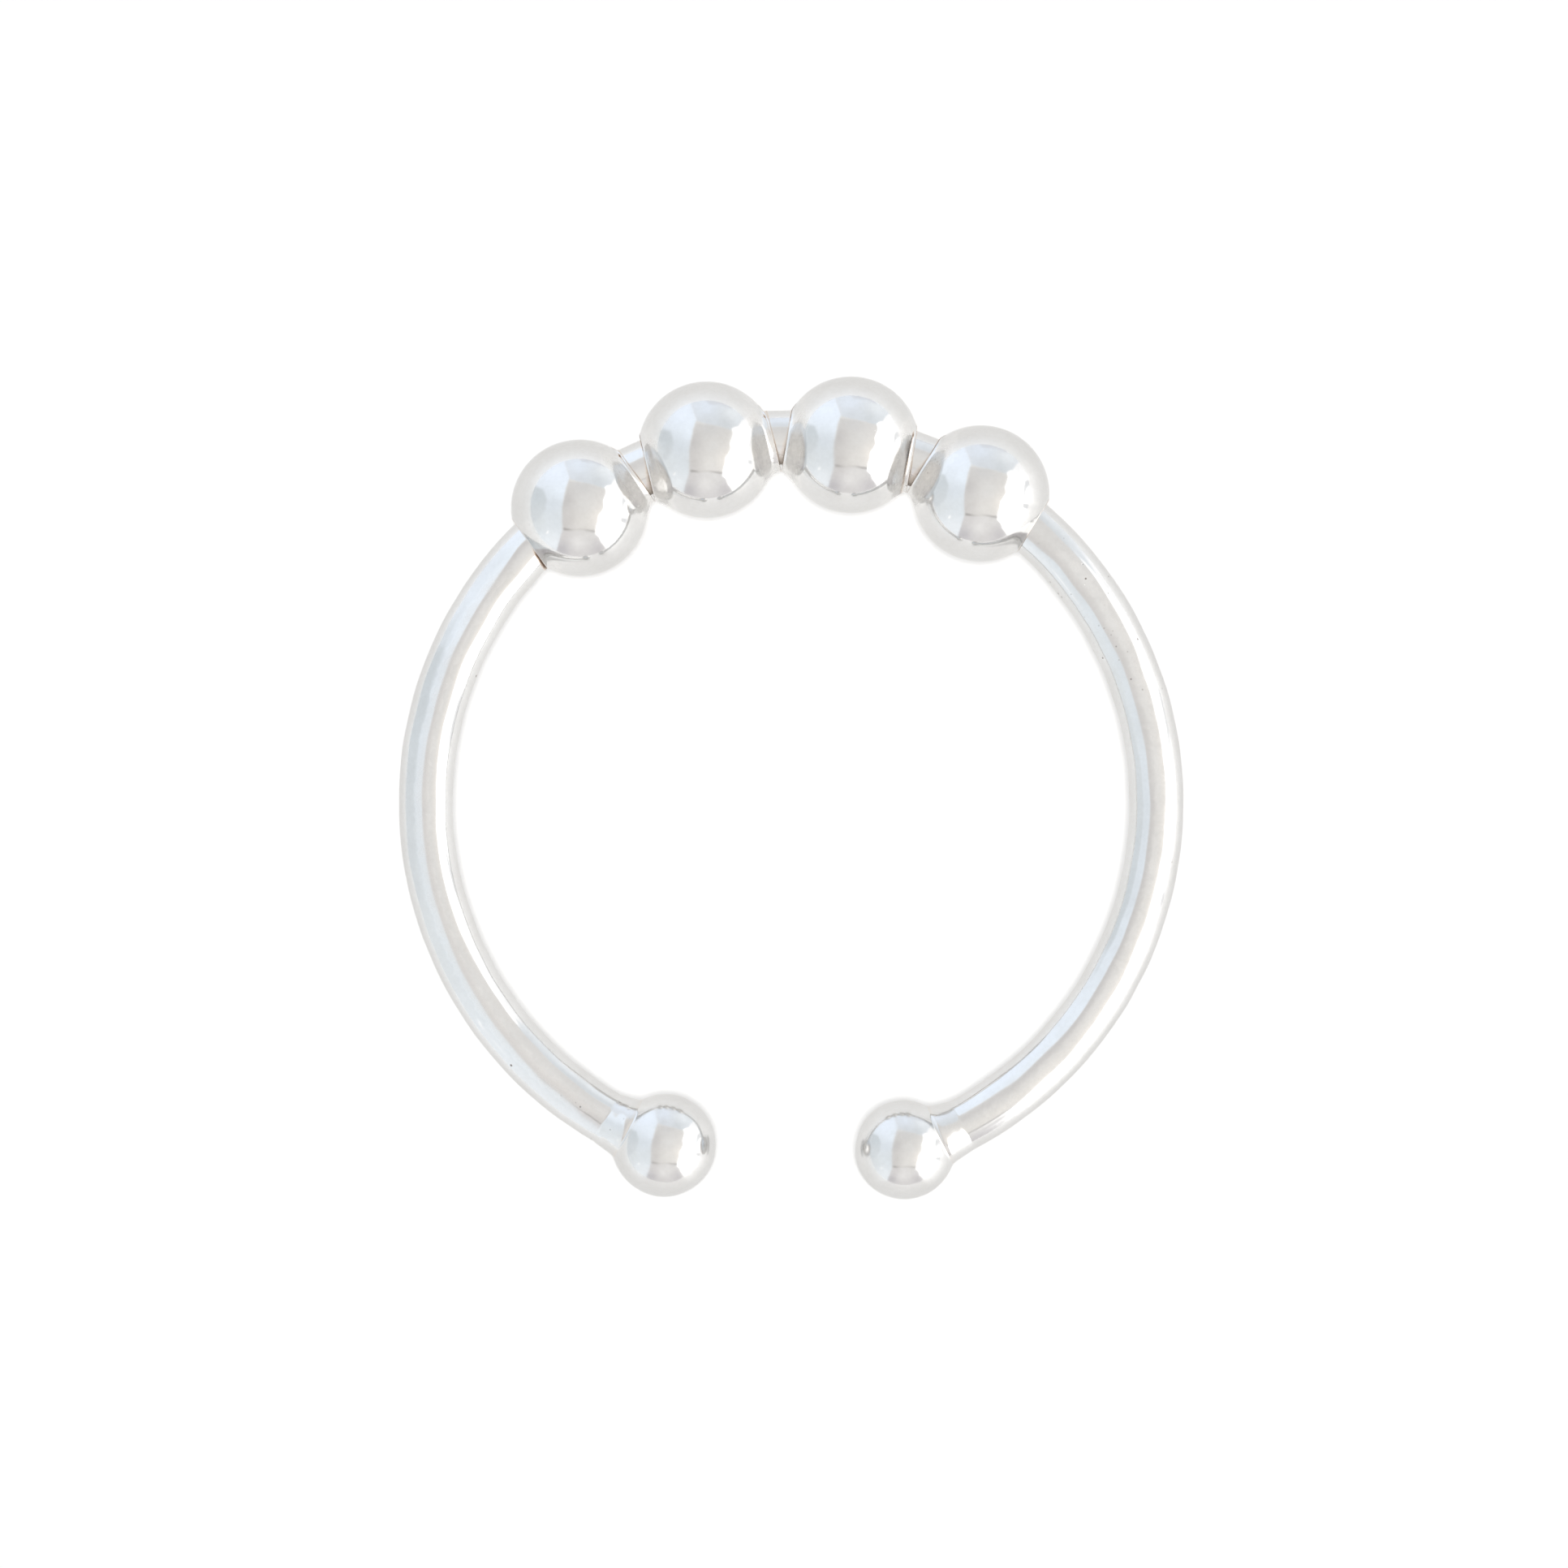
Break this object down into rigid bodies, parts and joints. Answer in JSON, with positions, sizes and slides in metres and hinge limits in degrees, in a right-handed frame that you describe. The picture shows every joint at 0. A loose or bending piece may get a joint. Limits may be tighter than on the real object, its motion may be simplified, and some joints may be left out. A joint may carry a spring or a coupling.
{
  "type": "anxiety ring",
  "caption": "Open finger ring of round polished silver wire with a soldered ball on each end and loose drilled beads that slide and spin on the wire.",
  "frame": {"origin": "centre of the finger hole, on the wire's middle plane", "axes": "+Z along the finger, at right angles to the ring's plane; +Y from the centre to the row of beads, with the open side at -Y; +X to the right seen from +Z"},
  "size_m": [0.0198, 0.0208, 0.0034],
  "materials": {
    "band_silver": "polished silver wire, with fine draw marks and small pits",
    "bead_silver": "mirror-polished silver, with tarnish at the drilled rims"
  },
  "bodies": {
    "band": {"band": "band_silver"},
    "bead_1": {"bead_1": "bead_silver"},
    "bead_2": {"bead_2": "bead_silver"},
    "bead_3": {"bead_3": "bead_silver"},
    "bead_4": {"bead_4": "bead_silver"}
  },
  "joints": [
    {"name": "bead_1_slide", "type": "hinge", "parent": "band", "child": "bead_1", "pos_m": [0, 0, 0], "axis": [0, 0, 1], "range_deg": [0, 101.5]},
    {"name": "bead_2_spin", "type": "hinge", "parent": "band", "child": "bead_2", "pos_m": [-0.0023, 0.00884, 0], "axis": [0.9677, 0.2521, 0], "continuous": true},
    {"name": "bead_3_spin", "type": "hinge", "parent": "band", "child": "bead_3", "pos_m": [0.00133, 0.00903, 0], "axis": [0.9893, -0.1461, 0], "continuous": true},
    {"name": "bead_4_slide", "type": "hinge", "parent": "band", "child": "bead_4", "pos_m": [0, 0, 0], "axis": [0, 0, 1], "range_deg": [-108.2, 0]}
  ]
}
